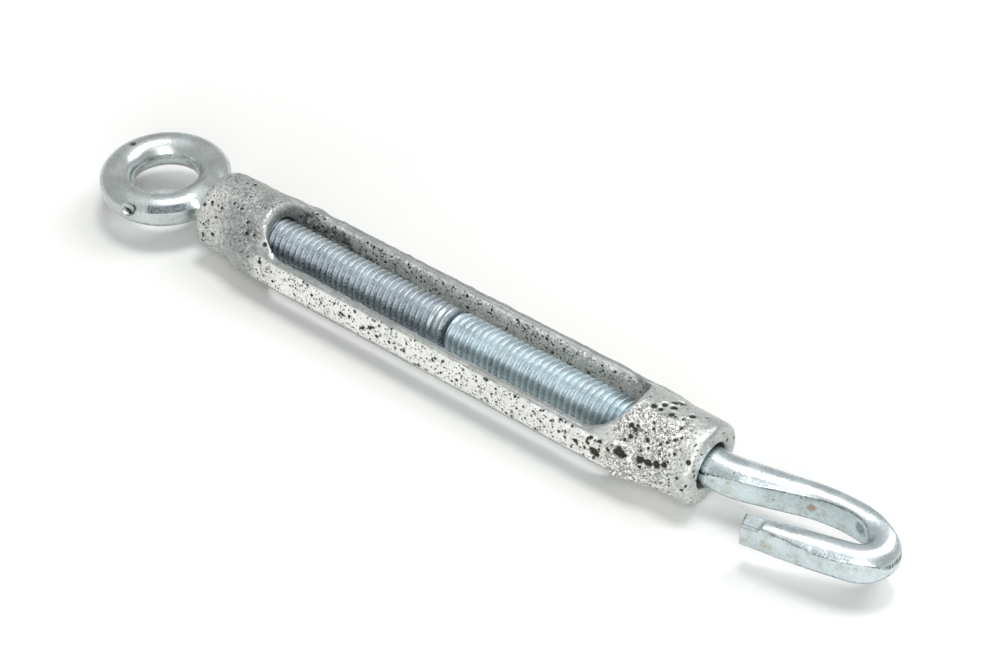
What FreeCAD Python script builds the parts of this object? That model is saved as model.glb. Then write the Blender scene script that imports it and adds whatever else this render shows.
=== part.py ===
import FreeCAD, Part
import math
import os

# Hook and eye turnbuckle with an open cast frame.
# Sizes are in millimetres. X runs along the screws from the eye to the hook, +Z is up,
# and the origin is the centre of the eye's hole.

# Screw thread, M8 coarse
thread_major_diameter = 8.0
screw_running_clearance = 0.06
screw_tip_chamfer = 0.7
thread_runout_bevel = 0.35
neck_diameter = 7.0

# Cast frame
frame_length = 108.0
frame_start = 14.0
boss_half_radius = 7.85
boss_half_shift = 0.4
boss_rim_radius = 1.4
boss_rim_flat_count = 3
hole_mouth_chamfer = 0.45
slot_length = 78.0
slot_width = 12.8
slot_corner_radius = 4.6
rail_width_at_parting = 18.2
rail_width_at_top = 17.8
rail_width_at_bottom = 17.2
rail_top_height = 3.05
rail_parting_height = -1.9
rail_bottom_height = -4.2
rail_edge_bevel = 0.65
shoulder_length = 8.0
shoulder_to_end = 5.0
shoulder_root_width = 11.0
shoulder_knee = 0.33
shoulder_knee_swell = 0.62

# Eye bolt
eye_ring_radius = 9.05
eye_wire_width = 6.7
eye_wire_height = 6.1
eye_wire_flat_count = 24
eye_hole_diameter = 11.7
eye_outer_diameter = 24.4
eye_screw_end = 68.2
eye_thread_start = 19.0
eye_dent_radius = 1.3
eye_dent_angle = 278.0
eye_dent_depth = 0.6
eye_dent_height = 0.7

# Hook bolt
hook_screw_end = 68.9
hook_thread_end = 117.0
hook_origin = 72.5
hook_neck_start = 116.0
# The wire from its neck to its tip: length of each straight run, with the wire's radius at its end
hook_neck_run = (8.0, 3.5)
hook_shank_run = (10.65, 3.12)
hook_back_run = (5.1, 3.12)
hook_limb_run = (18.2, 2.78)
# and the bends between them: radius of the centre line, and angle turned, left positive
hook_set_bend = (14.0, 15.5)
hook_return_bend = (24.0, -15.5)
hook_bow_bend = (4.25, -165.0)
# plan curves of the flats that the bending die pressed on both sides of the wire
hook_outer_flat = [
    (43.0, 3.6), (50.0, 3.6), (53.0, 3.5), (57.0, 3.6), (60.5, 4.3), (64.0, 5.0), (68.0, 5.65),
    (72.0, 6.05), (75.5, 5.85), (78.6, 4.85), (81.8, 3.3), (83.9, 1.5), (84.5, -0.7), (83.3, -3.4),
    (80.6, -5.45), (77.5, -6.8), (74.4, -7.65), (70.5, -8.3), (66.0, -8.85), (60.95, -9.6),
]
hook_inner_flat = [
    (43.0, -3.6), (50.0, -3.4), (53.0, -2.85), (56.5, -2.0), (60.0, -0.75), (64.0, 0.75), (68.0, 2.05),
    (71.0, 2.65), (74.0, 2.75), (76.6, 2.15), (78.1, 0.8), (78.1, -0.6), (76.9, -1.7),
    (74.8, -2.5), (71.8, -3.5), (68.9, -4.6), (65.9, -5.7), (60.6, -7.3),
]

# Values that follow from the sizes above
frame_centre = frame_start + frame_length / 2
frame_end = frame_start + frame_length
screw_radius = thread_major_diameter / 2
bore_radius = screw_radius + screw_running_clearance
neck_radius = neck_diameter / 2
boss_height = 2 * (boss_half_radius - boss_half_shift)
boss_length = (frame_length - slot_length) / 2
x_axis = FreeCAD.Vector(1, 0, 0)
z_axis = FreeCAD.Vector(0, 0, 1)
# how far cutting tools and joined solids reach past a face
overrun = 1.0
# how closely an edge must lie to a place to be picked there
near = 0.01


def vec(x, y, z=0.0):
    return FreeCAD.Vector(x, y, z)


def rod(radius, start, end):
    return Part.makeCylinder(radius, end - start, vec(start, 0), x_axis)


def spline(points, z=0.0):
    curve = Part.BSplineCurve()
    curve.interpolate([vec(x, y, z) for x, y in points])
    return curve.toShape()


# Points along an oval in the XY plane from one angle to another, with flats between them
def oval_points(centre, half_width, half_height, first, last, flats):
    angles = [math.radians(first + (last - first) * step / flats) for step in range(flats + 1)]
    return [centre + vec(half_width * math.cos(a), half_height * math.sin(a)) for a in angles]


# Cast frame: plan outline of the two rails and their shoulders at one height
def rail_outline(width, height):
    half = width / 2
    root = shoulder_root_width / 2
    left = frame_start + shoulder_to_end
    right = frame_end - shoulder_to_end
    knee = left + shoulder_length * shoulder_knee
    knee_half = root + (half - root) * shoulder_knee_swell
    lower_left = [(left, -root), (knee, -knee_half), (left + shoulder_length, -half)]
    upper_left = [(x, -y) for x, y in reversed(lower_left)]
    lower_right = [(left + right - x, y) for x, y in reversed(lower_left)]
    upper_right = [(x, -y) for x, y in reversed(lower_right)]
    edges = [
        spline(lower_left, height),
        Part.makeLine(vec(*lower_left[-1], height), vec(*lower_right[0], height)),
        spline(lower_right, height),
        Part.makeLine(vec(*lower_right[-1], height), vec(*upper_right[0], height)),
        spline(upper_right, height),
        Part.makeLine(vec(*upper_right[-1], height), vec(*upper_left[0], height)),
        spline(upper_left, height),
        Part.makeLine(vec(*upper_left[-1], height), vec(*lower_left[0], height)),
    ]
    return Part.Wire(edges)


# Cast frame: the long slot between the rails, as a tall prism with round corners
def slot_prism():
    height = boss_height + 2 * overrun
    corner = vec(frame_centre - slot_length / 2, -slot_width / 2, -height / 2)
    box = Part.makeBox(slot_length, slot_width, height, corner)
    corners = [edge for edge in box.Edges if edge.BoundBox.ZLength > height / 2]
    return box.makeFillet(slot_corner_radius, corners)


# Cast frame: the level edges that the slot leaves on the rails' upper and lower faces
def slot_rim_edges(shape):
    picked = []
    for edge in shape.Edges:
        box = edge.BoundBox
        level = any(
            abs(box.ZMin - height) < near and abs(box.ZMax - height) < near
            for height in (rail_top_height, rail_bottom_height))
        reach_x = max(frame_centre - box.XMin, box.XMax - frame_centre)
        reach_y = max(-box.YMin, box.YMax)
        if level and reach_x < slot_length / 2 + near and reach_y < slot_width / 2 + near:
            picked.append(edge)
    return picked


# Cast frame: both rails as one drafted ring, widest at the mould's parting height, with bevelled edges
def rails():
    bevel = rail_edge_bevel
    widths = [
        (rail_width_at_bottom - 2 * bevel, rail_bottom_height),
        (rail_width_at_bottom, rail_bottom_height + bevel),
        (rail_width_at_parting, rail_parting_height),
        (rail_width_at_top, rail_top_height - bevel),
        (rail_width_at_top - 2 * bevel, rail_top_height),
    ]
    wires = [rail_outline(width, height) for width, height in widths]
    body = Part.makeLoft(wires, True, True)
    body = body.cut(slot_prism())
    return body.makeChamfer(bevel, slot_rim_edges(body))


# Cast frame: one boss, its rim rounded in a few flats. Each half of the mould gives it an arc
# of slightly more than its half height, so it is a little wider than high and rests upright.
def boss(outer_end, inner_end):
    inward = math.copysign(1, inner_end - outer_end)
    rim_centre = vec(outer_end + inward * boss_rim_radius, boss_half_radius - boss_rim_radius)
    rim = oval_points(rim_centre, inward * boss_rim_radius, boss_rim_radius, 180, 90, boss_rim_flat_count)
    profile = [vec(outer_end, 0)] + rim + [vec(inner_end, boss_half_radius), vec(inner_end, 0)]
    profile.append(profile[0])
    turned = Part.Face(Part.makePolygon(profile)).revolve(vec(0, 0), x_axis, 360)
    upper = turned.translated(z_axis * -boss_half_shift)
    lower = turned.translated(z_axis * boss_half_shift)
    return upper.common(lower).cut(slot_prism())


def chamfer_cone(face, inward):
    depth = hole_mouth_chamfer
    big = bore_radius + depth
    axis = vec(inward, 0)
    return Part.makeCone(big, bore_radius, depth, vec(face, 0), axis)


def cast_frame():
    reach = slot_corner_radius
    inner_left = frame_start + boss_length
    inner_right = frame_end - boss_length
    left = boss(frame_start, inner_left + reach)
    right = boss(frame_end, inner_right - reach)
    body = rails().fuse([left, right]).removeSplitter()
    body = body.cut(rod(bore_radius, frame_start - overrun, frame_end + overrun))
    body = body.cut(chamfer_cone(frame_start, 1))
    body = body.cut(chamfer_cone(frame_end, -1))
    return body


# A screw's threaded length, bevelled at its tip and where the thread runs out
def threaded_rod(tip, thread_end):
    shank = rod(screw_radius, min(tip, thread_end), max(tip, thread_end))
    tip_edge = [edge for edge in shank.Edges if abs(edge.CenterOfMass.x - tip) < near]
    shank = shank.makeChamfer(screw_tip_chamfer, tip_edge)
    runout_edge = [edge for edge in shank.Edges if abs(edge.CenterOfMass.x - thread_end) < near]
    return shank.makeChamfer(thread_runout_bevel, runout_edge)


# Eye bolt: ring of nearly round wire in short conical bands, with pressed lands inside and outside
def eye_ring():
    section = oval_points(
        vec(eye_ring_radius, 0), eye_wire_width / 2, eye_wire_height / 2, 0, 360, eye_wire_flat_count)
    upright = [vec(point.x, 0, point.y) for point in section]
    ring = Part.Face(Part.makePolygon(upright)).revolve(vec(0, 0), z_axis, 360)
    height = eye_wire_height + 2 * overrun
    outer = Part.makeCylinder(eye_outer_diameter / 2, height, vec(0, 0, -height / 2))
    inner = Part.makeCylinder(eye_hole_diameter / 2, height, vec(0, 0, -height / 2))
    return ring.common(outer.cut(inner))


# Eye bolt: the small round gouge in the ring's outer rim
def eye_dent():
    angle = math.radians(eye_dent_angle)
    reach = eye_outer_diameter / 2 + eye_dent_radius - eye_dent_depth
    centre = vec(reach * math.cos(angle), reach * math.sin(angle), eye_dent_height)
    return Part.makeSphere(eye_dent_radius, centre)


def eye_bolt():
    neck = rod(neck_radius, eye_ring_radius, eye_thread_start + overrun)
    body = eye_ring().fuse([neck, threaded_rod(eye_screw_end, eye_thread_start)])
    return body.cut(eye_dent())


# Hook bolt: round wire, tapered along its straight runs and bent to true arcs between them
def straight_run(start, heading, radius, run):
    length, end_radius = run
    direction = vec(math.cos(heading), math.sin(heading))
    if end_radius == radius:
        body = Part.makeCylinder(radius, length, start, direction)
    else:
        body = Part.makeCone(radius, end_radius, length, start, direction)
    return body, start + direction * length


def bent_run(start, heading, radius, bend):
    bend_radius, angle = bend
    turn = math.copysign(1, angle)
    direction = vec(math.cos(heading), math.sin(heading))
    centre = start + vec(-math.sin(heading), math.cos(heading)) * (turn * bend_radius)
    face = Part.Face(Part.Wire([Part.makeCircle(radius, start, direction)]))
    body = face.revolve(centre, z_axis * turn, abs(angle))
    end_heading = heading + math.radians(angle)
    end = centre - vec(-math.sin(end_heading), math.cos(end_heading)) * (turn * bend_radius)
    return body, end, end_heading


def hook_wire():
    place = vec(hook_neck_start, 0)
    heading = 0.0
    radius = neck_radius
    steps = [
        (hook_neck_run, hook_set_bend),
        (hook_shank_run, hook_return_bend),
        (hook_back_run, hook_bow_bend),
        (hook_limb_run, None),
    ]
    pieces = []
    for run, bend in steps:
        piece, place = straight_run(place, heading, radius, run)
        pieces.append(piece)
        radius = run[1]
        if bend:
            piece, place, heading = bent_run(place, heading, radius, bend)
            pieces.append(piece)
    return pieces[0].fuse(pieces[1:])


# Hook bolt: the space between the two halves of the bending die
def hook_die():
    outer = [(hook_origin + x, y) for x, y in hook_outer_flat]
    inner = [(hook_origin + x, y) for x, y in reversed(hook_inner_flat)]
    low = -neck_radius - overrun
    edges = [
        spline(outer, low),
        Part.makeLine(vec(*outer[-1], low), vec(*inner[0], low)),
        spline(inner, low),
        Part.makeLine(vec(*inner[-1], low), vec(*outer[0], low)),
    ]
    return Part.Face(Part.Wire(edges)).extrude(z_axis * (-2 * low))


def hook_bolt():
    bent = hook_wire().common(hook_die())
    return threaded_rod(hook_screw_end, hook_thread_end).fuse(bent)


os.makedirs("parts", exist_ok=True)
nodes = {
    "frame": cast_frame(),
    "eye_bolt": eye_bolt(),
    "hook_bolt": hook_bolt(),
}
for name, shape in nodes.items():
    solid = shape.Solids[0] if len(shape.Solids) == 1 else shape
    print(name, shape.isValid(), len(shape.Solids), round(shape.Volume, 1), shape.BoundBox)
    solid.exportStep("parts/" + name + ".step")
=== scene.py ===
"""Hook and eye turnbuckle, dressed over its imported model.

Three pieces replace the three CAD nodes: the pitted cast frame, the eye bolt and the hook bolt.
Sizes inside the classes are millimetres, and meshes are scaled to metres when they are finished.
X runs along the screws from the eye to the hook, +Z is up, and the eye's hole is the origin.
"""

import logging
import math
import random
from dataclasses import dataclass
from enum import Enum
from functools import partial
from typing import Callable

import bmesh
import bpy
import numpy as np
from mathutils import Matrix, Vector, kdtree, noise


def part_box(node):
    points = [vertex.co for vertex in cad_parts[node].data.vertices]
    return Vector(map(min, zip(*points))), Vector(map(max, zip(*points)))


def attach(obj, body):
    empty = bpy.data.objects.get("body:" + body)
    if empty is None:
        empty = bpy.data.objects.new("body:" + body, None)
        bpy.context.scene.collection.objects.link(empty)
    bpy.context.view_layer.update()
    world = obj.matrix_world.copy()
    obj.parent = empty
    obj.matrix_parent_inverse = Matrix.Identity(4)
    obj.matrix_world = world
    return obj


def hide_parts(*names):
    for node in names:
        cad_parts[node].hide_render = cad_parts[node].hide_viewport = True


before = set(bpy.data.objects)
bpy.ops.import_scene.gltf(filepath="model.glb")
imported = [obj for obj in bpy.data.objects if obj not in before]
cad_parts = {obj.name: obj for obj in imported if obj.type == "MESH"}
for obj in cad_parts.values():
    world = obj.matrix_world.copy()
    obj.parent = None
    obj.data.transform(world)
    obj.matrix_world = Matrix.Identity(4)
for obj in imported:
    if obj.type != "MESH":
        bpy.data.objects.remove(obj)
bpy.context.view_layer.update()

MM = 0.001
WELD_GAP_MM = 0.002
MIDDLE = (0.068, 0.0, 0.0)
WHITE = "#FFFFFF"
log = logging.getLogger("turnbuckle")

Points = np.ndarray
Field = Callable[[Points], np.ndarray]
NodeAdder = Callable[..., bpy.types.Node]


class Hand(Enum):
    """Which way a thread winds."""

    RIGHT = 1
    LEFT = -1


def linear(colour: str) -> tuple[float, float, float, float]:
    """Turn an sRGB hex colour into linear light."""
    parts = [int(colour[i : i + 2], 16) / 255 for i in (1, 3, 5)]
    light = [c / 12.92 if c <= 0.04045 else ((c + 0.055) / 1.055) ** 2.4 for c in parts]
    return (light[0], light[1], light[2], 1.0)


def add_node(
    tree: bpy.types.NodeTree, kind: str, inputs: dict | None = None, **settings: object,
) -> bpy.types.Node:
    """Add one shader node with its settings and links."""
    node = tree.nodes.new("ShaderNode" + kind)
    for name, value in settings.items():
        setattr(node, name, value)
    for name, value in (inputs or {}).items():
        if isinstance(value, bpy.types.NodeSocket):
            tree.links.new(value, node.inputs[name])
        else:
            node.inputs[name].default_value = value
    return node


def per_metre(size: float) -> float:
    """Turn a pattern's size in millimetres into its scale."""
    return 1.0 / (size * MM)


def smoothstep(low: float, high: float, value: np.ndarray) -> np.ndarray:
    """Rise smoothly from 0 at low to 1 at high."""
    t = np.clip((value - low) / (high - low), 0.0, 1.0)
    return t * t * (3.0 - 2.0 * t)


def noise_at(points: Points, grain: float, shift: float = 0.0) -> np.ndarray:
    """Sample smooth noise between about -1 and 1 at each point."""
    scaled = points / grain + shift
    return np.array([noise.noise(Vector(p)) for p in scaled])


@dataclass(frozen=True)
class Lumps:
    """Soft lumps in a surface: their height and rough size in millimetres, and the pattern's shift."""

    height: float
    grain: float
    shift: float = 0.0

    def at(self, points: Points) -> np.ndarray:
        """Return how far each point rises, in millimetres."""
        return self.height * noise_at(points, self.grain, self.shift)


class Skin:
    """A mesh in millimetres whose points are shaped as arrays."""

    def __init__(self, mesh: bpy.types.Mesh) -> None:
        """Wrap a mesh whose coordinates are millimetres."""
        self.mesh = mesh

    @classmethod
    def from_bmesh(cls, bm: bmesh.types.BMesh, name: str) -> "Skin":
        """Write a bmesh to a new mesh and free it."""
        mesh = bpy.data.meshes.new(name)
        bm.to_mesh(mesh)
        bm.free()
        return cls(mesh)

    @classmethod
    def copy_of_node(cls, node: str) -> bmesh.types.BMesh:
        """Copy a CAD node's mesh, in millimetres, with its loose triangles joined."""
        bm = bmesh.new()
        bm.from_mesh(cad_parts[node].data)
        bmesh.ops.scale(bm, vec=Vector((1, 1, 1)) / MM, verts=bm.verts[:])
        bmesh.ops.remove_doubles(bm, verts=bm.verts[:], dist=WELD_GAP_MM)
        return bm

    def points(self) -> Points:
        """Return every vertex's place."""
        flat = np.empty(len(self.mesh.vertices) * 3)
        self.mesh.vertices.foreach_get("co", flat)
        return flat.reshape(-1, 3)

    def normals(self) -> Points:
        """Return every vertex's unit normal."""
        flat = np.empty(len(self.mesh.vertices) * 3)
        self.mesh.vertices.foreach_get("normal", flat)
        return flat.reshape(-1, 3)

    def move_to(self, points: Points) -> None:
        """Put every vertex at its new place."""
        self.mesh.vertices.foreach_set("co", points.ravel())
        self.mesh.update()

    def remesh(self, cell: float) -> None:
        """Rebuild the surface from even cells, which also joins solids that overlap."""
        carrier = bpy.data.objects.new("remesh_carrier", self.mesh)
        bpy.context.scene.collection.objects.link(carrier)
        modifier = carrier.modifiers.new("even_cells", "REMESH")
        modifier.mode = "VOXEL"
        modifier.voxel_size = cell
        graph = bpy.context.evaluated_depsgraph_get()
        self.mesh = bpy.data.meshes.new_from_object(carrier.evaluated_get(graph))
        bpy.data.objects.remove(carrier)

    def relax(self, rounds: int, weight: np.ndarray | float = 1.0) -> None:
        """Even out the surface, which also softens its edges.

        Args:
            rounds: how often each vertex moves halfway to the middle of its neighbours.
            weight: a share of that move, for all vertices or for each.
        """
        count = len(self.mesh.vertices)
        ends = np.empty(len(self.mesh.edges) * 2, dtype=np.int64)
        self.mesh.edges.foreach_get("vertices", ends)
        near, far = ends.reshape(-1, 2).T
        both, other = np.concatenate((near, far)), np.concatenate((far, near))
        links = np.maximum(np.bincount(both, minlength=count), 1)[:, None]
        share = 0.5 * np.broadcast_to(np.asarray(weight, dtype=float), (count,))[:, None]
        points = self.points()
        for _ in range(rounds):
            sums = [np.bincount(both, weights=points[other, axis], minlength=count) for axis in range(3)]
            points = points + share * (np.stack(sums, axis=1) / links - points)
        self.move_to(points)

    def settle(self, form: Field, rounds: int = 3, step: float = 0.01) -> None:
        """Draw every vertex onto the surface where a distance field is zero."""
        points = self.points()
        for _ in range(rounds):
            here = form(points)
            slope = np.stack([form(points + step * axis) - here for axis in np.eye(3)], axis=1) / step
            steepness = np.maximum((slope**2).sum(axis=1), 0.05)
            points = points - slope * (here / steepness)[:, None]
        self.move_to(points)

    def paint(self, name: str, values: np.ndarray) -> None:
        """Store one number for each vertex under a name that a finish reads."""
        layer = self.mesh.attributes.new(name, "FLOAT", "POINT")
        layer.data.foreach_set("value", values.astype(np.float32))

    def finish(
        self, name: str, body: str, node: str, slot: str, material: bpy.types.Material,
    ) -> bpy.types.Object:
        """Scale the mesh to metres, dress it and let it stand for its CAD node.

        Args:
            name: the piece's name.
            body: the body that it rides on.
            node: the CAD node that it replaces.
            slot: not used.
            material: its finish.

        Returns:
            The finished piece.
        """
        self.mesh.transform(Matrix.Scale(MM, 4))
        self.mesh.name = name
        for polygon in self.mesh.polygons:
            polygon.use_smooth = True
        self.mesh.materials.clear()
        self.mesh.materials.append(material)
        piece = bpy.data.objects.new(name, self.mesh)
        bpy.context.scene.collection.objects.link(piece)
        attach(piece, body)
        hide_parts(node)
        log.info("%s: %d faces", name, len(self.mesh.polygons))
        return piece


def start_material(name: str) -> tuple[bpy.types.Material, NodeAdder, bpy.types.Node]:
    """Start an empty node material."""
    material = bpy.data.materials.new(name)
    material.use_nodes = True
    tree = material.node_tree
    tree.nodes.clear()
    add = partial(add_node, tree)
    return material, add, add("OutputMaterial")


@dataclass(frozen=True)
class GalvanisedCastIron:
    """Malleable cast iron, sand cast, then dipped in zinc.

    The zinc lies smooth and mid grey on the upper faces. On the sides the sand's grain shows through
    as a bright silvery crust full of small dark pits.
    """

    smooth_grey: str = "#B0B5B3"
    crust_white: str = "#F4F5F0"
    pit_dark: str = "#33352C"
    rust_tint: str = "#5A4B38"
    # The dark grey of the painted shade in the slot and of the dirt on the eye's boss.
    shade_and_dirt_dark: str = "#2A2F33"
    warp_size: float = 0.4545
    wrinkle_size: float = 0.8
    grain_size: float = 0.4167
    cloud_size: float = 3.333
    # Small pits: their spacing in millimetres, largest radius as a share of it, and share left out
    pit_layers: tuple[tuple[float, float, float], ...] = (
        (1.05, 0.38, 0.20),
        (0.62, 0.46, 0.00),
        (0.42, 0.44, 0.05),
    )

    def speckle(
        self, add: NodeAdder, place: bpy.types.NodeSocket, crust: bpy.types.NodeSocket,
        layer: tuple[float, float, float],
    ) -> bpy.types.NodeSocket:
        """Scatter one size of small pits."""
        spacing, reach, empty = layer
        cells = add("TexVoronoi", {"Vector": place, "Scale": per_metre(spacing), "Randomness": 1.0})
        draw = add("SeparateColor", {"Color": cells.outputs["Color"]}).outputs[0]
        radius = add("MapRange", {0: draw, 1: empty, 2: 1.0, 3: -0.08, 4: reach}, clamp=False)
        cover = add("MapRange", {0: crust, 1: 0.0, 2: 1.0, 3: -0.24, 4: 0.0}, clamp=False)
        edge = add("Math", {0: radius.outputs[0], 1: cover.outputs[0]}, operation="ADD")
        inside = add(
            "Math", {0: edge.outputs[0], 1: cells.outputs["Distance"]}, operation="SUBTRACT")
        return add("MapRange", {0: inside.outputs[0], 1: -0.04, 2: 0.12, 3: 0.0, 4: 0.86}).outputs[0]

    def material(self) -> bpy.types.Material:
        """Build the finish, which reads the attributes crust, coarse, pit and the one for dirt and painted
        shade.

        Returns:
            The material.
        """
        material, add, output = start_material("galvanised_cast_iron")
        place = add("TexCoord").outputs["Object"]
        crust = add("Attribute", attribute_name="crust").outputs["Fac"]
        pit = add("Attribute", attribute_name="pit").outputs["Fac"]
        coarse = add("Attribute", attribute_name="coarse").outputs["Fac"]
        dirt_and_shade = add("Attribute", attribute_name="dirt_and_shade").outputs["Fac"]
        warp = add("TexNoise", {"Vector": place, "Scale": per_metre(self.warp_size), "Detail": 3.0})
        bend = add("VectorMath", {0: warp.outputs["Color"], 1: (0.0005,) * 3}, operation="MULTIPLY")
        bent = add("VectorMath", {0: place, 1: bend.outputs[0]}, operation="ADD").outputs[0]

        dark = add("MapRange", {0: pit, 1: 0.12, 2: 0.42, 3: 0.0, 4: 1.0}).outputs[0]
        for layer in self.pit_layers:
            hole = self.speckle(add, bent, crust, layer)
            dark = add("Math", {0: dark, 1: hole}, operation="MAXIMUM").outputs[0]

        wrinkle = add("TexNoise", {
            "Vector": bent, "Scale": per_metre(self.wrinkle_size), "Detail": 5.0, "Roughness": 0.68,
        }).outputs["Fac"]
        middle = add("Math", {0: wrinkle, 1: 0.49}, operation="SUBTRACT").outputs[0]
        away = add("Math", {0: middle}, operation="ABSOLUTE").outputs[0]
        crease = add("MapRange", {0: away, 1: 0.008, 2: 0.036, 3: 0.95, 4: 0.0}).outputs[0]
        web = add("Math", {0: crease, 1: coarse}, operation="MULTIPLY").outputs[0]
        dark = add("Math", {0: dark, 1: web}, operation="MAXIMUM").outputs[0]

        scales = per_metre(self.grain_size), per_metre(self.cloud_size)
        grain = add("TexNoise", {"Vector": place, "Scale": scales[0], "Detail": 4.0}).outputs["Fac"]
        cloud = add("TexNoise", {"Vector": place, "Scale": scales[1], "Detail": 5.0}).outputs["Fac"]
        tone = add("MapRange", {0: cloud, 1: 0.3, 2: 0.7, 3: 0.82, 4: 1.08}).outputs[0]
        fleck = add("MapRange", {0: grain, 1: 0.3, 2: 0.7, 3: 0.74, 4: 1.16}).outputs[0]
        tones = add("Math", {0: tone, 1: fleck}, operation="MULTIPLY").outputs[0]
        lift = add("MapRange", {0: crust, 1: 0.1, 2: 0.8, 3: 0.96, 4: 1.24}).outputs[0]
        tones = add("Math", {0: tones, 1: lift}, operation="MULTIPLY").outputs[0]
        tones = add("Math", {0: tones, 1: 1.05}, operation="MINIMUM").outputs[0]
        coat = add(
            "Mix", {0: crust, 6: linear(self.smooth_grey), 7: linear(self.crust_white)}, data_type="RGBA")
        toned = add("VectorMath", {0: coat.outputs[2], 3: tones}, operation="SCALE").outputs[0]
        rusty = add("MapRange", {0: cloud, 1: 0.56, 2: 0.78, 3: 0.0, 4: 0.7}).outputs[0]
        hollow = add(
            "Mix", {0: rusty, 6: linear(self.pit_dark), 7: linear(self.rust_tint)}, data_type="RGBA")
        colour = add("Mix", {0: dark, 6: toned, 7: hollow.outputs[2]}, data_type="RGBA").outputs[2]
        patchy = add("MapRange", {0: wrinkle, 1: 0.4, 2: 0.6, 3: 1.0, 4: 0.45}).outputs[0]
        gritty = add("MapRange", {0: grain, 1: 0.35, 2: 0.65, 3: 1.3, 4: 0.55}).outputs[0]
        # Painted shade low in the slot and dirt on the eye's boss, both mixed towards the dark grey.
        film = add("Math", {0: dirt_and_shade, 1: patchy}, operation="MULTIPLY").outputs[0]
        film = add("Math", {0: film, 1: gritty}, operation="MULTIPLY", use_clamp=True).outputs[0]
        colour = add("Mix", {0: film, 6: colour, 7: linear(self.shade_and_dirt_dark)}, data_type="RGBA").outputs[2]

        rise = add("Math", {0: dark, 1: -1.0}, operation="MULTIPLY").outputs[0]
        grit = add("MapRange", {0: crust, 1: 0.0, 2: 1.0, 3: 0.22, 4: 1.6}).outputs[0]
        rough_grain = add("Math", {0: grain, 1: grit}, operation="MULTIPLY").outputs[0]
        height = add("Math", {0: rise, 1: rough_grain}, operation="ADD").outputs[0]
        bump = add("Bump", {"Strength": 0.9, "Distance": 0.00014, "Height": height}).outputs[0]
        rough = add("MapRange", {0: dark, 1: 0.0, 2: 1.0, 3: 0.38, 4: 0.85}).outputs[0]
        shine = add("MapRange", {0: crust, 1: 0.0, 2: 1.0, 3: 0.84, 4: 0.22}).outputs[0]
        open_metal = add("MapRange", {0: dark, 1: 0.0, 2: 1.0, 3: 1.0, 4: 0.12}).outputs[0]
        metal = add("Math", {0: shine, 1: open_metal}, operation="MULTIPLY").outputs[0]
        shader = add(
            "BsdfPrincipled", {"Base Color": colour, "Metallic": metal, "Roughness": rough, "Normal": bump})
        material.node_tree.links.new(shader.outputs[0], output.inputs["Surface"])
        return material


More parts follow.
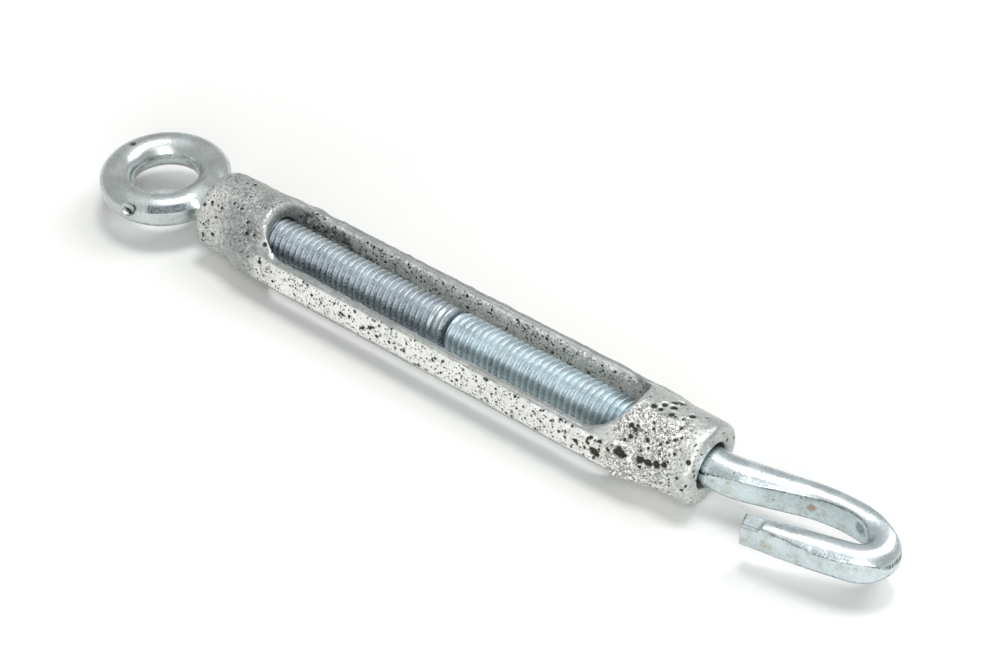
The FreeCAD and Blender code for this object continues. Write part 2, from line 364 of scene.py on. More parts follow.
@dataclass(frozen=True)
class ZincPlate:
    """Steel with bright zinc plating and a clear blue passivation.

    It is a soft silver that reflects its surroundings. The threads are duller, with painted bluish shade in
    their grooves and low on the screws. Edges and nicks are dark, a band on the eye's ring is painted as a
    dark reflection, and the flats have dull grey and yellowish stains where the plating is thin.
    """

    name: str
    silver: str = "#C8CFCF"
    thread_silver: str = "#C2CDD2"
    # The dark blue of the painted shade in grooves and low on the screws, of the ring's painted dark band,
    # and of real blue stains.
    shade_and_stain_blue: str = "#3A4C5A"
    edge_dark: str = "#3F474B"
    stain: str = "#A5A48C"
    rust: str = "#A98A64"
    roughness: float = 0.21
    cloud_size: float = 4.167
    grain_size: float = 0.3846
    patch_size: float = 1.923
    scar_spacing: float = 3.03
    wave_size: float = 2.083

    def material(self) -> bpy.types.Material:
        """Build the finish, which reads the attributes threaded, groove (painted shade and blue stains),
        edge, stain, rust, and the one for nicks and the painted dark band.

        Returns:
            The material.
        """
        material, add, output = start_material(self.name)
        place = add("TexCoord").outputs["Object"]
        threaded, groove, edge, stain, rust, nick_and_painted_band = (
            add("Attribute", attribute_name=name).outputs["Fac"]
            for name in ("threaded", "groove", "edge", "stain", "rust", "nick_and_painted_band"))
        scales = per_metre(self.cloud_size), per_metre(self.grain_size)
        cloud = add("TexNoise", {"Vector": place, "Scale": scales[0], "Detail": 6.0}).outputs["Fac"]
        grain = add("TexNoise", {"Vector": place, "Scale": scales[1], "Detail": 4.0}).outputs["Fac"]
        tone = add("MapRange", {0: cloud, 1: 0.3, 2: 0.7, 3: 0.84, 4: 1.08}).outputs[0]
        fleck = add("MapRange", {0: grain, 1: 0.3, 2: 0.7, 3: 0.88, 4: 1.08}).outputs[0]
        tones = add("Math", {0: tone, 1: fleck}, operation="MULTIPLY").outputs[0]

        patch_scale = per_metre(self.patch_size)
        patch = add("TexNoise", {"Vector": place, "Scale": patch_scale, "Detail": 6.0, "Roughness": 0.65})
        thin = add("MapRange", {0: patch.outputs["Fac"], 1: 0.52, 2: 0.68, 3: 0.0, 4: 0.65}).outputs[0]
        stained = add("Math", {0: thin, 1: stain}, operation="MULTIPLY", use_clamp=True).outputs[0]
        broken = add("MapRange", {0: grain, 1: 0.42, 2: 0.56, 3: 1.0, 4: 0.35}).outputs[0]
        lined = add("Math", {0: edge, 1: broken}, operation="MULTIPLY").outputs[0]
        mottled = add("MapRange", {0: grain, 1: 0.35, 2: 0.6, 3: 1.0, 4: 0.5}).outputs[0]
        # Painted shade and blue stains: the groove attribute paints the thread grooves and the screws' lower
        # sides dark blue as painted shade, the eye's band as a painted dark reflection, and the hook's blue
        # stain as a real stain.
        shade_and_stain_share = add("Math", {0: groove, 1: mottled}, operation="MULTIPLY").outputs[0]
        cells = add("TexVoronoi", {"Vector": place, "Scale": per_metre(self.scar_spacing), "Randomness": 1.0})
        scar = add(
            "MapRange", {0: cells.outputs["Distance"], 1: 0.035, 2: 0.07, 3: 0.7, 4: 0.0}).outputs[0]
        colour = add(
            "Mix", {0: threaded, 6: linear(self.silver), 7: linear(self.thread_silver)},
            data_type="RGBA").outputs[2]
        colour = add("VectorMath", {0: colour, 3: tones}, operation="SCALE").outputs[0]
        for share, tint in (
            (shade_and_stain_share, self.shade_and_stain_blue), (stained, self.stain), (rust, self.rust), (scar, self.edge_dark),
            (lined, self.edge_dark), (nick_and_painted_band, self.edge_dark),
        ):
            colour = add("Mix", {0: share, 6: colour, 7: linear(tint)}, data_type="RGBA").outputs[2]

        wave_scale = per_metre(self.wave_size)
        wave = add("TexNoise", {"Vector": place, "Scale": wave_scale, "Detail": 2.0}).outputs["Fac"]
        height = add("Math", {0: grain, 1: wave}, operation="ADD").outputs[0]
        bump = add("Bump", {"Strength": 0.5, "Distance": 0.00006, "Height": height}).outputs[0]
        rough = add(
            "MapRange", {0: cloud, 1: 0.3, 2: 0.7, 3: self.roughness, 4: self.roughness + 0.1}).outputs[0]
        for share, dulling in ((stained, 0.2), (threaded, 0.02), (groove, 0.22), (rust, 0.3), (nick_and_painted_band, 0.4)):
            extra = add("Math", {0: share, 1: dulling}, operation="MULTIPLY").outputs[0]
            rough = add("Math", {0: rough, 1: extra}, operation="ADD").outputs[0]
        bare = add("Math", {0: threaded, 1: 0.12}, operation="MULTIPLY").outputs[0]
        bare = add("Math", {0: bare, 1: nick_and_painted_band}, operation="MAXIMUM").outputs[0]
        bare = add("Math", {0: bare, 1: rust}, operation="MAXIMUM").outputs[0]
        metal = add("Math", {0: 1.0, 1: bare}, operation="SUBTRACT").outputs[0]
        shader = add(
            "BsdfPrincipled", {"Base Color": colour, "Metallic": metal, "Roughness": rough, "Normal": bump})
        material.node_tree.links.new(shader.outputs[0], output.inputs["Surface"])
        return material


@dataclass(frozen=True)
class Spot:
    """A place on the casting, in millimetres, with a radius and a depth or height."""

    x: float
    y: float
    z: float
    radius: float
    depth: float


@dataclass
class CastFrame:
    """The open cast frame: two rails between two tapped bosses."""

    cell: float = 0.264
    centre: float = 68.0
    half_length: float = 54.0
    rail_half_length: float = 39.0
    bore: float = 4.2
    seed: int = 41
    small_pits: int = 1500
    large_pits: int = 90
    lipped_from: float = 0.55
    lip: float = 0.11
    smoothing: int = 70
    sunk: float = 0.05
    broad: Lumps = Lumps(0.09, 3.0)
    fine: Lumps = Lumps(0.085, 0.9, 7.0)
    torn: Lumps = Lumps(0.14, 0.9, 5.0)
    slot_end: Lumps = Lumps(0.16, 1.8, 23.0)
    blow_holes: tuple[Spot, ...] = (
        Spot(104.7, -9.0, -0.5, 1.35, 0.8),
        Spot(109.2, -8.6, 2.0, 1.3, 0.85),
        Spot(110.0, -8.2, 1.6, 0.7, 0.5),
        Spot(103.9, -9.0, 2.4, 0.45, 0.35),
        Spot(105.6, -9.0, 2.6, 0.5, 0.4),
        Spot(103.4, -9.0, 1.0, 0.5, 0.4),
        Spot(102.7, -9.0, -0.4, 0.4, 0.3),
        Spot(107.2, -9.0, 1.7, 0.5, 0.4),
        Spot(113.3, 3.3, 6.9, 0.9, 0.6),
        Spot(112.6, 2.4, 7.1, 0.7, 0.5),
        Spot(113.5, 1.0, 7.4, 0.6, 0.45),
        Spot(113.8, -0.6, 7.4, 0.5, 0.4),
        Spot(110.4, -0.6, 7.4, 0.55, 0.4),
        Spot(111.9, -0.6, 7.4, 0.45, 0.35),
        Spot(116.8, 1.3, 7.4, 0.6, 0.35),
        Spot(109.2, -5.0, 5.6, 0.5, 0.35),
        Spot(110.1, -5.3, 5.3, 0.5, 0.35),
        Spot(109.9, -6.2, 4.4, 0.5, 0.35),
        Spot(112.9, -5.7, 5.0, 0.45, 0.35),
        Spot(112.9, -7.4, 1.8, 0.9, 0.6),
        Spot(114.3, -7.3, 1.9, 0.9, 0.65),
        Spot(115.7, -7.2, 2.2, 0.8, 0.55),
        Spot(117.2, -6.9, 2.8, 0.6, 0.4),
        Spot(120.8, -5.9, 4.8, 0.5, 0.25),
        Spot(19.0, -7.5, 1.1, 0.5, 0.4),
        Spot(16.4, -7.5, 0.2, 0.4, 0.25),
        Spot(22.9, -3.6, 6.6, 0.35, 0.25),
        Spot(21.0, -3.5, 6.6, 0.3, 0.2),
        Spot(27.8, -6.1, 4.5, 0.3, 0.25),
        Spot(31.4, -9.0, 1.8, 0.5, 0.35),
        Spot(53.4, -9.0, 2.3, 0.4, 0.3),
        Spot(56.9, -9.0, 0.3, 0.45, 0.35),
        Spot(58.6, -9.0, -0.6, 0.45, 0.35),
    )
    swellings: tuple[Spot, ...] = (
        Spot(31.0, 8.6, 3.0, 2.4, 0.35),
        Spot(37.0, 8.8, 3.2, 1.4, 0.2),
        Spot(52.0, 8.8, 3.2, 1.6, 0.2),
        Spot(66.0, 8.8, 3.2, 1.2, 0.22),
        Spot(73.5, 8.8, 3.2, 1.8, 0.18),
        Spot(91.0, 8.8, 3.2, 1.5, 0.2),
        Spot(112.0, -7.8, -2.0, 1.5, 0.5),
        Spot(115.5, -7.6, 0.2, 1.2, 0.4),
        Spot(108.5, -8.6, -3.0, 1.7, 0.4),
        Spot(111.8, 1.2, 7.4, 2.4, 0.15),
    )

    def skin(self) -> Skin:
        """Model the casting with its soft edges, lumps and pits.

        Returns:
            The finished surface, with the attributes crust, coarse, pit and one for dirt and painted shade.
        """
        skin = Skin.from_bmesh(Skin.copy_of_node("frame"), "cast_frame")
        skin.remesh(self.cell)
        skin.relax(self.smoothing, self.softness(skin.points()))
        points, normals = skin.points(), skin.normals()
        crust = self.crust(points, normals)
        coarse = self.coarse(points, normals) * smoothstep(0.1, 0.5, crust)
        pit, sink = self.pits(points, crust, coarse)
        lumps = self.broad.at(points) + self.fine.at(points) * (0.3 + crust)
        lumps += self.torn.at(points) * coarse
        lumps += self.slot_end.at(points) * self.near_slot_end(points)
        lumps += self.swell(points)
        rise = lumps - self.sunk - sink
        rise *= smoothstep(self.bore + 0.1, self.bore + 0.9, np.hypot(points[:, 1], points[:, 2]))
        points = points + normals * rise[:, None]
        low, high = (np.array(corner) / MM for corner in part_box("frame"))
        skin.move_to(np.clip(self.clear_bore(points), low, high))
        skin.paint("crust", crust)
        skin.paint("coarse", coarse)
        skin.paint("dirt_and_shade", self.dirt_and_shade(points, normals))
        skin.paint("pit", pit)
        return skin

    def near_slot_end(self, points: Points) -> np.ndarray:
        """Say how near each point is to an end of the slot, from 0 to 1."""
        return smoothstep(7.0, 3.0, np.abs(np.abs(points[:, 0] - self.centre) - self.rail_half_length))

    def softness(self, points: Points) -> np.ndarray:
        """Say how round each part of the casting's edges is."""
        along = np.abs(points[:, 0] - self.centre)
        shoulder = smoothstep(8.0, 5.0, np.abs(along - self.rail_half_length))
        end_face = smoothstep(self.half_length - 2.4, self.half_length - 1.0, along)
        return np.clip(0.5 + 0.5 * shoulder - 0.4 * end_face, 0.0, 1.0)

    def crust(self, points: Points, normals: Points) -> np.ndarray:
        """Say where the casting's surface is the pitted crust, and where it is smooth.

        Args:
            points: the surface's points.
            normals: their normals.

        Returns:
            0 for smooth grey zinc, up to 1 for the roughest crust.
        """
        x, y = points[:, 0] - self.centre, points[:, 1]
        side = smoothstep(0.5, 0.85, np.abs(normals[:, 1])) * smoothstep(-0.5, -0.2, normals[:, 2])
        on_boss = smoothstep(self.rail_half_length - 2.5, self.rail_half_length + 1.5, np.abs(x))
        patches = 0.5 + 0.5 * noise_at(points, 5.0, 3.0)
        along = smoothstep(-self.half_length, 10.0, x)
        upper = 0.25 + 0.75 * smoothstep(-3.3, -2.1, points[:, 2] + patches - 0.5)
        rail = side * upper * (0.72 + 0.12 * along + 0.34 * patches)
        near_end = smoothstep(-45.0, -49.0, x) * smoothstep(0.0, -4.0, y)
        eye_boss = 0.24 + 0.26 * patches + 0.34 * near_end
        near = smoothstep(0.5, -4.5, y)
        face = smoothstep(0.8, 0.95, np.abs(normals[:, 0]))
        hook_boss = (0.34 + 0.7 * near) * (0.6 + 0.55 * patches) * (0.45 + 0.55 * smoothstep(53.0, 49.5, x))
        boss = np.where(x < 0, eye_boss * (1 - 0.7 * face), hook_boss * (1 - 0.2 * face) + 0.15 * face)
        return np.clip(rail * (1 - on_boss) + boss * on_boss, 0.0, 1.0)

    def coarse(self, points: Points, normals: Points) -> np.ndarray:
        """Say where the crust is torn and blackened, as round the hook's boss."""
        x, y, z = points[:, 0] - self.centre, points[:, 1], points[:, 2]
        patches = 0.5 + 0.5 * noise_at(points, 3.2, 17.0)
        nearest = 0.45 + 0.55 * smoothstep(2.0, -3.0, y)
        boss = smoothstep(36.0, 41.0, x) * smoothstep(53.5, 48.0, x) * nearest
        facing = smoothstep(-0.4, -0.8, normals[:, 1])
        inner = 0.6 * facing * smoothstep(5.5, 6.5, y) * smoothstep(5.5, 2.5, z)
        outer = 0.22 * facing * smoothstep(-24.0, 30.0, x) * (y < 0)
        rim = 0.5 * self.near_slot_end(points) * (x < 0)
        return np.clip((boss + inner + outer + rim) * (0.35 + 1.1 * patches), 0.0, 1.0)

    def dirt_and_shade(self, points: Points, normals: Points) -> np.ndarray:
        """Say where the casting is painted darker: painted shade low on the slot's walls and ends, and a thin
        film of dirt on the eye's boss.
        """
        x, y, z = points[:, 0] - self.centre, points[:, 1], points[:, 2]
        # Painted shade: the slot's inner walls are painted dark below a wavy height, higher towards the eye's
        # end, where shade falls between the rails and the screw.
        inward = smoothstep(0.3, 0.8, -np.sign(y) * normals[:, 1]) * smoothstep(41.0, 39.0, np.abs(x))
        top = -0.2 + 3.0 * smoothstep(-22.0, -33.0, x) + 1.4 * noise_at(points, 3.0, 31.0)
        walls = inward * smoothstep(top, top - 2.0, z) * (0.25 + 0.75 * smoothstep(-12.0, -26.0, x))
        film = 0.56 * smoothstep(-37.0, -41.0, x) * (0.8 + 0.5 * noise_at(points, 4.0, 41.0))
        # Painted shade: the slot's end walls are painted dark low down.
        end = smoothstep(0.2, 0.6, -np.sign(x) * normals[:, 0]) * smoothstep(44.0, 42.0, np.abs(x))
        ends = end * smoothstep(4.4, 1.2, z - 0.35 * y)
        return np.clip(np.maximum(0.9 * np.maximum(walls, ends), film), 0.0, 1.0)

    def pits(self, points: Points, crust: np.ndarray, coarse: np.ndarray) -> tuple[np.ndarray, np.ndarray]:
        """Work out where the casting's holes are and how deep each point lies in them.

        Args:
            points: the surface's points.
            crust: where the surface is rough.
            coarse: where it is torn, and has the larger holes.

        Returns:
            0 on the open surface to 1 at the bottom of a hole, and the depth in millimetres.
        """
        draw = random.Random(self.seed)
        tree = kdtree.KDTree(len(points))
        for index, point in enumerate(points):
            tree.insert(point, index)
        tree.balance()
        holes = list(self.blow_holes)
        kinds = ((self.small_pits, 0.22, 0.36, crust**2), (self.large_pits, 0.36, 0.6, coarse))
        for wanted, low, high, chance in kinds:
            for _ in range(wanted):
                index = draw.randrange(len(points))
                if draw.random() < chance[index]:
                    radius = draw.uniform(low, high)
                    holes.append(Spot(*points[index], radius, radius * draw.uniform(0.4, 0.75)))
        wobble = 1 + 0.4 * noise_at(points, 0.55, 11.0)
        pit, sink = np.zeros(len(points)), np.zeros(len(points))
        for hole in holes:
            centre = tree.find((hole.x, hole.y, hole.z))[0]
            for _, index, distance in tree.find_range(centre, hole.radius * 2.2):
                out = distance * wobble[index] / hole.radius
                if out < 1:
                    pit[index] = max(pit[index], 1 - out**2)
                    sink[index] = max(sink[index], hole.depth * min(1.0, 1.6 * (1 - out**2)))
                elif out < 1.5 and hole.radius > self.lipped_from and sink[index] <= 0:
                    sink[index] = min(sink[index], -self.lip * math.sin(math.pi * (out - 1) / 0.5))
        return pit, sink

    def swell(self, points: Points) -> np.ndarray:
        """Raise the casting's few plain lumps."""
        height = np.zeros(len(points))
        for lump in self.swellings:
            distance = np.linalg.norm(points - np.array((lump.x, lump.y, lump.z)), axis=1)
            height += lump.depth * smoothstep(lump.radius, 0.0, distance)
        return height

    def clear_bore(self, points: Points) -> Points:
        """Keep the tapped holes open round the screws."""
        radial = np.hypot(points[:, 1], points[:, 2])
        grow = np.where(radial < self.bore, self.bore / np.maximum(radial, 0.1), 1.0)
        moved = points.copy()
        moved[:, 1] *= grow
        moved[:, 2] *= grow
        return moved

    def build(self) -> None:
        """Make the piece and let it replace the frame's solid."""
        material = GalvanisedCastIron().material()
        self.skin().finish("cast_frame", "frame", "frame", "frame", material)


@dataclass(frozen=True)
class ScrewThread:
    """A rolled coarse thread, wound along X."""

    pitch: float = 1.25
    crest_radius: float = 3.97
    root_radius: float = 3.36
    crest_share: float = 0.14
    root_share: float = 0.1
    steps: int = 56
    tip_chamfer: float = 0.75

    def profile(self) -> list[tuple[float, float]]:
        """Give one pitch of the outline, from root to root, as offsets along X and radii."""
        crest, root = self.crest_share / 2, 0.5 - self.root_share / 2
        depth = self.crest_radius - self.root_radius
        half = [
            (-0.5, self.root_radius),
            (-root, self.root_radius + 0.08 * depth),
            (-(root + crest) / 2, self.root_radius + 0.5 * depth),
            (-crest - 0.04, self.crest_radius - 0.16 * depth),
            (-crest, self.crest_radius - 0.04 * depth),
            (-crest * 0.4, self.crest_radius),
        ]
        mirrored = [(-offset, radius) for offset, radius in reversed(half[1:])]
        return [(offset * self.pitch, radius) for offset, radius in half + mirrored]

    def groove(self, points: Points) -> np.ndarray:
        """Say how much painted shade each point gets: more the deeper it lies between the crests, and more
        again low on the screw, from 0 to 1.
        """
        radial = np.hypot(points[:, 1], points[:, 2])
        depth = smoothstep(self.crest_radius - 0.04, self.root_radius + 0.2, radial)
        return depth * (0.5 + 0.5 * smoothstep(0.95, 0.35, points[:, 2] / self.crest_radius))

    def shank(
        self, start: float, tip: float, crest_at: float, hand: Hand, neck: float, worn: float,
    ) -> bmesh.types.BMesh:
        """Wind the threaded length, open at its start and closed at its tip.

        Args:
            start: where the thread runs out into the neck.
            tip: the screw's end, on either side of the start.
            crest_at: a place on X that a crest passes on top of the screw.
            hand: which way the thread winds.
            neck: the neck's radius.
            worn: how much of the tip has its crests pressed flat.

        Returns:
            The model.
        """
        low, high = min(start, tip), max(start, tip)
        first = crest_at + (math.floor((low - crest_at) / self.pitch) - 1) * self.pitch
        count = math.ceil((high - first) / self.pitch) + 2
        bm = bmesh.new()
        chain = [
            bm.verts.new((first + turn * self.pitch + offset, 0, radius))
            for turn in range(count)
            for offset, radius in self.profile()
        ]
        chain.append(bm.verts.new((first + count * self.pitch - self.pitch / 2, 0, self.root_radius)))
        for a, b in zip(chain, chain[1:]):
            bm.edges.new((a, b))
        bmesh.ops.spin(
            bm, geom=bm.verts[:] + bm.edges[:], cent=(0, 0, 0), axis=(1, 0, 0),
            dvec=(hand.value * self.pitch / self.steps, 0, 0), angle=2 * math.pi, steps=self.steps,
            use_merge=False)
        bmesh.ops.remove_doubles(bm, verts=bm.verts[:], dist=self.pitch * 0.02)
        for place, side in ((low, -1), (high, 1)):
            cut = bmesh.ops.bisect_plane(
                bm, geom=bm.verts[:] + bm.edges[:] + bm.faces[:], plane_co=(place, 0, 0),
                plane_no=(side, 0, 0), clear_outer=True)
            if place == tip:
                rim = [item for item in cut["geom_cut"] if isinstance(item, bmesh.types.BMEdge)]
                bmesh.ops.holes_fill(bm, edges=rim, sides=0)
        for vertex in bm.verts:
            self.shape(vertex, start, tip, neck, worn)
        bmesh.ops.recalc_face_normals(bm, faces=bm.faces[:])
        return bm

    def shape(self, vertex: bmesh.types.BMVert, start: float, tip: float, neck: float, worn: float) -> None:
        """Fade the thread at its run-out and bevel its tip.

        Args:
            vertex: the vertex to move.
            start: where the thread runs out.
            tip: the screw's end.
            neck: the neck's radius.
            worn: how much of the tip has flattened crests.
        """
        x, y, z = vertex.co
        radius = math.hypot(y, z)
        if radius < 1.0:
            return
        wanted = radius
        run = min(abs(x - start) / (1.6 * self.pitch), 1.0)
        wanted = neck + (wanted - neck) * run
        left = abs(tip - x)
        flat = max(0.0, 1.0 - left / worn) if worn else 0.0
        wanted += (self.crest_radius - 0.16 - wanted) * 0.75 * min(1.0, flat * 2.5)
        wanted = min(wanted, self.crest_radius - self.tip_chamfer + left * 1.1)
        vertex.co = (x, y * wanted / radius, z * wanted / radius)


def join_head(head: Skin, shank: bmesh.types.BMesh, cut: float, keep: int) -> bmesh.types.BMesh:
    """Cut a forged head across its neck and sew it to the threaded shank.

    Args:
        head: the head, whose neck runs past the cut.
        shank: the threaded length, open towards the head.
        cut: where the neck is cut, on X.
        keep: 1 to keep the head's side towards +X, or -1 for the other.

    Returns:
        One closed model.
    """
    bm = bmesh.new()
    bm.from_mesh(head.mesh)
    bmesh.ops.bisect_plane(
        bm, geom=bm.verts[:] + bm.edges[:] + bm.faces[:], plane_co=(cut, 0, 0), plane_no=(-keep, 0, 0),
        clear_outer=True)
    carrier = bpy.data.meshes.new("shank_carrier")
    shank.to_mesh(carrier)
    shank.free()
    bm.from_mesh(carrier)
    bpy.data.meshes.remove(carrier)
    rims = [edge for edge in bm.edges if edge.is_boundary]
    bmesh.ops.bridge_loops(bm, edges=rims)
    bmesh.ops.recalc_face_normals(bm, faces=bm.faces[:])
    return bm


@dataclass(frozen=True)
class Dent:
    """A dent in the ring: its angle in degrees, and its place and radius in millimetres."""

    angle: float
    out: float
    height: float
    radius: float


@dataclass
class EyeBolt:
    """The eye bolt: a forged ring on a screw."""

    ring_radius: float = 9.15
    wire_half_width: float = 3.22
    wire_half_height: float = 3.04
    outer_radius: float = 12.17
    neck_radius: float = 3.5
    neck_cut: float = 18.4
    thread_start: float = 19.0
    tip: float = 68.2
    crest_at: float = 31.25
    worn_tip: float = 3.2
    blend: float = 1.7
    # The direction across the screw along which its lower side gets painted shade.
    screw_up: tuple[float, float, float] = (0.0, 0.75, 0.66)
    cell: float = 0.24
    smoothing: int = 3
    sunk: float = 0.02
    waves: Lumps = Lumps(0.018, 4.5)
    # The painted dark band: a dark reflection painted on the ring's outer slope, between these angles in
    # degrees and heights in millimetres.
    band_angles: tuple[float, float, float, float] = (-66.0, -60.0, -29.0, -24.0)
    band_heights: tuple[float, float, float, float] = (1.0, 1.4, 2.2, 2.6)
    dents: tuple[Dent, ...] = (
        Dent(280.0, 12.6, 1.3, 1.5),
        Dent(277.5, 12.4, 0.4, 0.95),
        Dent(284.5, 11.75, 1.6, 0.58),
        Dent(173.0, 9.3, 3.35, 0.6),
    )

    def form(self, points: Points) -> np.ndarray:
        """Give the signed distance to the ring and neck, blended where they meet."""
        x, y, z = points.T
        out = np.hypot(x, y)
        round_wire = np.hypot((out - self.ring_radius) / self.wire_half_width, z / self.wire_half_height)
        ring = (round_wire - 1) * self.wire_half_height
        ring = np.maximum(ring, out - self.outer_radius)
        neck = np.maximum(np.hypot(y, z) - self.neck_radius, self.ring_radius - x)
        gap = np.clip(0.5 + 0.5 * (neck - ring) / self.blend, 0, 1)
        both = neck + (ring - neck) * gap - self.blend * gap * (1 - gap)
        return np.maximum(both, self.hollows(points))

    def hollows(self, points: Points) -> np.ndarray:
        """Give the distance into the ring's dents, negative outside them."""
        deepest = np.full(len(points), -9.0)
        for dent in self.dents:
            turn = math.radians(dent.angle)
            centre = np.array([dent.out * math.cos(turn), dent.out * math.sin(turn), dent.height])
            deepest = np.maximum(deepest, dent.radius - np.linalg.norm(points - centre, axis=1))
        return deepest

    def head(self) -> Skin:
        """Model the ring and neck.

        Returns:
            The surface in millimetres.
        """
        bm = bmesh.new()
        bmesh.ops.create_circle(bm, segments=32, radius=1.0)
        bmesh.ops.scale(bm, vec=(self.wire_half_width, self.wire_half_height, 1), verts=bm.verts[:])
        bmesh.ops.rotate(bm, cent=(0, 0, 0), matrix=Matrix.Rotation(math.pi / 2, 3, "X"), verts=bm.verts[:])
        bmesh.ops.translate(bm, vec=(self.ring_radius, 0, 0), verts=bm.verts[:])
        bmesh.ops.spin(
            bm, geom=bm.verts[:] + bm.edges[:], cent=(0, 0, 0), axis=(0, 0, 1), angle=2 * math.pi, steps=96,
            use_merge=True)
        neck_end = self.thread_start + 2.0
        length = neck_end - self.ring_radius
        middle = Matrix.Translation((self.ring_radius + length / 2, 0, 0))
        bmesh.ops.create_cone(
            bm, cap_ends=True, segments=64, radius1=self.neck_radius, radius2=self.neck_radius, depth=length,
            matrix=middle @ Matrix.Rotation(math.pi / 2, 4, "Y"))
        bmesh.ops.recalc_face_normals(bm, faces=bm.faces[:])
        head = Skin.from_bmesh(bm, "eye_head")
        head.remesh(self.cell)
        head.relax(self.smoothing)
        head.settle(self.form)
        return head

    def build(self) -> None:
        """Make the piece and let it replace the eye bolt's solid."""
        thread = ScrewThread()
        shank = thread.shank(
            self.thread_start, self.tip, self.crest_at, Hand.RIGHT, self.neck_radius, self.worn_tip)
        skin = Skin.from_bmesh(join_head(self.head(), shank, self.neck_cut, -1), "eye_bolt")
        points, normals = skin.points(), skin.normals()
        threaded = points[:, 0] > self.thread_start
        wavy = self.waves.at(points) * ~threaded
        skin.move_to(points + normals * (wavy - self.sunk * ~threaded)[:, None])
        # Painted dark reflection: a dark blue band on the ring's outer slope, just below the lamp's
        # highlight.
        angle = np.degrees(np.arctan2(points[:, 1], points[:, 0]))
        begin, full, fading, end = self.band_heights
        low_slope = smoothstep(begin, full, points[:, 2]) * smoothstep(end, fading, points[:, 2])
        begin, full, fading, end = self.band_angles
        painted_dark_band = smoothstep(begin, full, angle) * smoothstep(end, fading, angle) * low_slope
        painted_dark_band *= np.hypot(points[:, 0], points[:, 1]) > self.ring_radius
        skin.paint("threaded", threaded)
        # Painted shade: the eye screw's lower side, towards the near rail, is painted darker, on top of the
        # painted shade in its grooves.
        shaded_low_side = smoothstep(0.35, -0.45, points @ np.array(self.screw_up) / thread.crest_radius)
        painted_thread_shade = np.maximum(thread.groove(points), 0.62 * shaded_low_side)
        skin.paint("groove", np.where(threaded, painted_thread_shade, 0.95 * painted_dark_band))
        skin.paint("edge", np.zeros(len(points)))
        skin.paint("stain", np.where(threaded, 0.25, 0.55))
        skin.paint("rust", np.zeros(len(points)))
        # The painted dark band is also darkened, dulled and made less metallic here, which takes its
        # highlight away.
        skin.paint("nick_and_painted_band", np.maximum(self.nicks(points), 0.45 * painted_dark_band * ~threaded))
        skin.finish("eye_bolt", "eye_bolt", "eye_bolt", "eye_bolt", ZincPlate("bright_zinc_eye").material())

    def nicks(self, points: Points) -> np.ndarray:
        """Say which points lie in the two small deep dents."""
        dark = np.zeros(len(points))
        for dent in self.dents[2:]:
            turn = math.radians(dent.angle)
            centre = np.array([dent.out * math.cos(turn), dent.out * math.sin(turn), dent.height])
            away = np.linalg.norm(points - centre, axis=1)
            dark = np.maximum(dark, smoothstep(dent.radius + 0.22, dent.radius, away))
        return dark


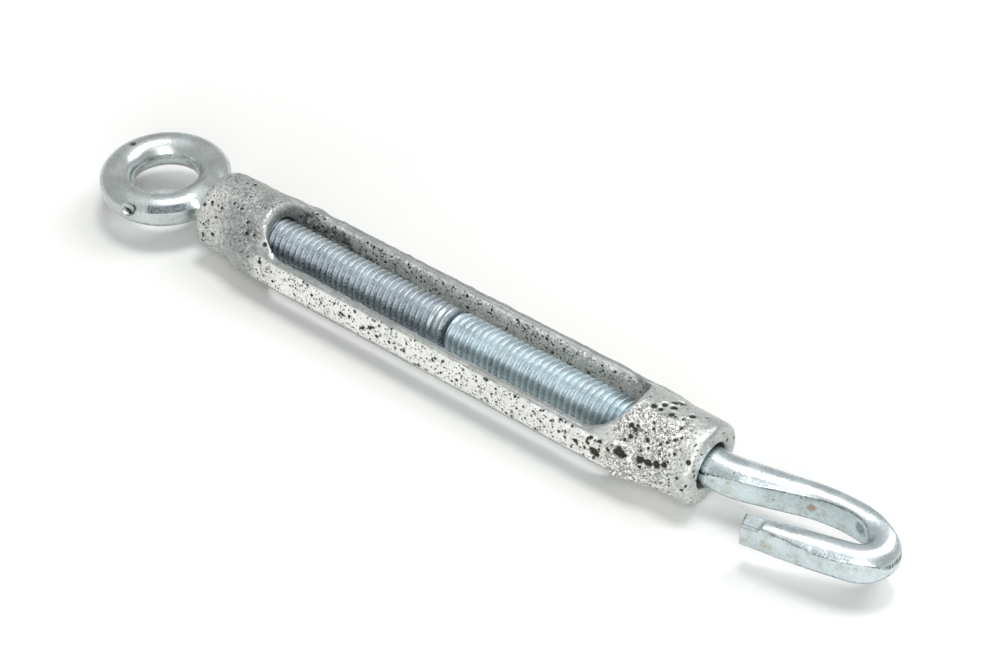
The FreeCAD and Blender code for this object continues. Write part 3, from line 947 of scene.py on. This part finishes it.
@dataclass
class HookBolt:
    """The hook bolt: a wire pressed flat at its sides, bent to an open hook, on a screw."""

    neck_radius: float = 3.5
    neck_cut: float = 118.6
    thread_start: float = 117.2
    tip: float = 68.9
    crest_at: float = 75.12
    worn_tip: float = 0.6
    cell: float = 0.24
    smoothing: int = 5
    sunk: float = 0.02
    waves: Lumps = Lumps(0.03, 5.0, 2.0)
    tip_facet: tuple[float, float, float] = (134.5, -7.0, 2.75)
    tip_facing: tuple[float, float, float] = (0.0, -0.507, 0.862)
    rust_spots: tuple[Spot, ...] = (Spot(139.7, 1.8, 0.2, 0.95, 0.75), Spot(140.9, 2.15, -1.0, 0.5, 0.4))
    black_dots: tuple[Spot, ...] = (Spot(137.93, 1.25, 1.85, 0.28, 1.0),)
    blue_spots: tuple[Spot, ...] = (Spot(148.4, 2.4, 0.5, 1.5, 0.85),)

    def head(self) -> Skin:
        """Model the bent wire from the solid, with softened edges.

        Returns:
            The surface in millimetres.
        """
        bm = Skin.copy_of_node("hook_bolt")
        cut = bmesh.ops.bisect_plane(
            bm, geom=bm.verts[:] + bm.edges[:] + bm.faces[:], plane_co=(self.neck_cut - 0.8, 0, 0),
            plane_no=(-1, 0, 0), clear_outer=True)
        rim = [item for item in cut["geom_cut"] if isinstance(item, bmesh.types.BMEdge)]
        bmesh.ops.holes_fill(bm, edges=rim, sides=0)
        bmesh.ops.triangulate(bm, faces=bm.faces[:])
        head = Skin.from_bmesh(bm, "hook_head")
        head.remesh(self.cell)
        head.relax(self.smoothing)
        return head

    def press_tip(self, points: Points) -> Points:
        """Press the slanted facet that the shears left on the hook's tip."""
        facing = np.array(self.tip_facing) / np.linalg.norm(self.tip_facing)
        above = np.maximum((points - np.array(self.tip_facet)) @ facing, 0.0)
        above *= smoothstep(136.9, 136.3, points[:, 0]) * (points[:, 1] < -5.5)
        return points - above[:, None] * facing

    def build(self) -> None:
        """Make the piece and let it replace the hook bolt's solid."""
        thread = ScrewThread()
        shank = thread.shank(
            self.thread_start, self.tip, self.crest_at, Hand.LEFT, self.neck_radius, self.worn_tip)
        skin = Skin.from_bmesh(join_head(self.head(), shank, self.neck_cut, 1), "hook_bolt")
        points, normals = skin.points(), skin.normals()
        threaded = points[:, 0] < self.thread_start
        wavy = self.waves.at(points) * ~threaded
        skin.move_to(self.press_tip(points + normals * (wavy - self.sunk * ~threaded)[:, None]))
        tilt = np.abs(normals[:, 2])
        edge = smoothstep(0.16, 0.28, tilt) * smoothstep(0.52, 0.36, tilt) * ~threaded
        limb = points[:, 1] < -4.0
        end = points[limb, 0].min()
        outline = limb * smoothstep(end + 0.5, end + 0.2, points[:, 0]) * (normals[:, 0] > -0.9)
        edge = np.maximum(edge, outline)
        blue = self.spots(points, self.blue_spots)
        skin.paint("threaded", threaded)
        # Painted shade in the hook screw's grooves and low on it, and a real blue stain on the hook.
        skin.paint("groove", np.maximum(0.62 * thread.groove(points) * threaded, blue))
        skin.paint("edge", edge)
        skin.paint("stain", np.where(threaded, 0.25, 1.0 - 0.6 * tilt))
        skin.paint("rust", self.spots(points, self.rust_spots))
        skin.paint("nick_and_painted_band", self.spots(points, self.black_dots))
        finish = ZincPlate(
            "bright_zinc_hook", silver="#CFDADE", thread_silver="#CCDCE1", shade_and_stain_blue="#4A6170")
        skin.finish("hook_bolt", "hook_bolt", "hook_bolt", "hook_bolt", finish.material())

    @staticmethod
    def spots(points: Points, marks: tuple[Spot, ...]) -> np.ndarray:
        """Fade out from the middle of each mark."""
        strength = np.zeros(len(points))
        ragged = 1 + 0.35 * noise_at(points, 0.6, 4.0)
        for mark in marks:
            away = np.linalg.norm(points - np.array((mark.x, mark.y, mark.z)), axis=1) * ragged
            strength = np.maximum(strength, mark.depth * smoothstep(mark.radius, mark.radius * 0.45, away))
        return strength


@dataclass(frozen=True)
class Lamp:
    """One square soft lamp: its place and side in metres, and its power in watts."""

    name: str
    place: tuple[float, float, float]
    size: float
    power: float


@dataclass
class Studio:
    """A white floor, soft lamps and the camera."""

    camera_place: tuple[float, float, float] = (254.2146, -229.2388, 265.2803)
    camera_right: tuple[float, float, float] = (0.79077, 0.612091, 0.005235)
    camera_up: tuple[float, float, float] = (-0.413014, 0.527229, 0.742596)
    camera_back: tuple[float, float, float] = (0.451776, -0.589384, 0.66972)
    lens: float = 82.8
    sensor: float = 36.0
    floor_height: float = -7.45
    floor_size: float = 6000.0
    floor_white: str = "#F9FAF8"
    floor_glow: tuple[float, float] = (0.02, 0.75)
    glow_reach: tuple[float, float] = (0.06, 0.6)
    sky: tuple[float, float] = (0.05, 0.6)
    lamps: tuple[Lamp, ...] = (
        Lamp("roof", (0.068, 0.0, 0.9), 1.2, 1.5),
        Lamp("key", (0.068, 0.12, 0.84), 0.24, 2.75),
        Lamp("back", (0.32, 0.52, 0.72), 0.5, 3.0),
        Lamp("window", (0.42, -0.4, 0.6), 0.35, 1.4),
        Lamp("front", (0.65, -0.75, 0.26), 0.7, 5.4),
    )

    def camera(self) -> None:
        """Place the camera where the photograph was taken."""
        data = bpy.data.cameras.new("camera")
        data.lens = self.lens
        data.sensor_width = self.sensor
        data.clip_start = 0.01
        camera = bpy.data.objects.new("camera", data)
        axes = Matrix((self.camera_right, self.camera_up, self.camera_back)).transposed().to_4x4()
        camera.matrix_world = Matrix.Translation(Vector(self.camera_place) * MM) @ axes
        bpy.context.scene.collection.objects.link(camera)
        bpy.context.scene.camera = camera

    @staticmethod
    def hang(lamp: Lamp) -> None:
        """Hang one lamp so that it faces the turnbuckle."""
        data = bpy.data.lights.new(lamp.name, "AREA")
        data.size = lamp.size
        data.energy = lamp.power
        hung = bpy.data.objects.new(lamp.name, data)
        aim = Vector(MIDDLE) - Vector(lamp.place)
        turned = aim.to_track_quat("-Z", "Y").to_matrix().to_4x4()
        hung.matrix_world = Matrix.Translation(Vector(lamp.place)) @ turned
        bpy.context.scene.collection.objects.link(hung)

    def floor(self) -> None:
        """Lay the white floor, which keeps the soft shadow."""
        bm = bmesh.new()
        bmesh.ops.create_grid(bm, x_segments=1, y_segments=1, size=self.floor_size * MM / 2)
        bmesh.ops.translate(bm, vec=(MIDDLE[0], MIDDLE[1], self.floor_height * MM), verts=bm.verts[:])
        mesh = bpy.data.meshes.new("floor")
        bm.to_mesh(mesh)
        bm.free()
        floor = bpy.data.objects.new("floor", mesh)
        bpy.context.scene.collection.objects.link(floor)
        material, add, output = start_material("white_floor")
        paper = add("BsdfDiffuse", {"Color": linear(self.floor_white)})
        rays = add("LightPath")
        mirrored = add("Math", {0: rays.outputs["Is Glossy Ray"], 1: 0.5}, operation="MULTIPLY")
        seen = add(
            "Math", {0: rays.outputs["Is Camera Ray"], 1: mirrored.outputs[0]}, operation="MAXIMUM")
        # Painted light: the floor glows for the camera and in reflections, faintly near the turnbuckle and
        # more further out, so the floor round it stays darker.
        place = add("TexCoord").outputs["Object"]
        away = add("VectorMath", {0: place, 1: MIDDLE}, operation="DISTANCE")
        (start, end), (low, high) = self.glow_reach, self.floor_glow
        far = add("MapRange", {0: away.outputs["Value"], 1: start, 2: end, 3: low, 4: high})
        lift = add("Math", {0: seen.outputs[0], 1: far.outputs[0]}, operation="MULTIPLY")
        glow = add("Emission", {"Color": linear(WHITE), "Strength": lift.outputs[0]})
        both = add("AddShader", {0: paper.outputs[0], 1: glow.outputs[0]})
        material.node_tree.links.new(both.outputs[0], output.inputs["Surface"])
        floor.data.materials.append(material)

    def world(self) -> None:
        """Surround the scene with plain white light."""
        world = bpy.data.worlds.new("studio")
        bpy.context.scene.world = world
        world.use_nodes = True
        tree = world.node_tree
        tree.nodes.clear()
        add = partial(add_node, tree)
        rays = add("LightPath")
        views = {0: rays.outputs["Is Camera Ray"], 1: rays.outputs["Is Glossy Ray"]}
        seen = add("Math", views, operation="MAXIMUM")
        low, high = self.sky
        strength = add("MapRange", {0: seen.outputs[0], 1: 0.0, 2: 1.0, 3: low, 4: high})
        light = add("Background", {"Color": linear(WHITE), "Strength": strength.outputs[0]})
        output = add("OutputWorld")
        tree.links.new(light.outputs[0], output.inputs["Surface"])

    def build(self) -> None:
        """Set the stage."""
        self.camera()
        self.floor()
        self.world()
        for lamp in self.lamps:
            self.hang(lamp)
        bpy.context.scene.view_settings.view_transform = "Standard"


def main() -> None:
    """Build the studio and the three pieces, and note the sizes."""
    logging.basicConfig(level=logging.INFO, format="%(name)s: %(message)s")
    for part in (Studio(), CastFrame(), EyeBolt(), HookBolt()):
        log.info("building %s", type(part).__name__)
        part.build()


if __name__ == "__main__":
    main()
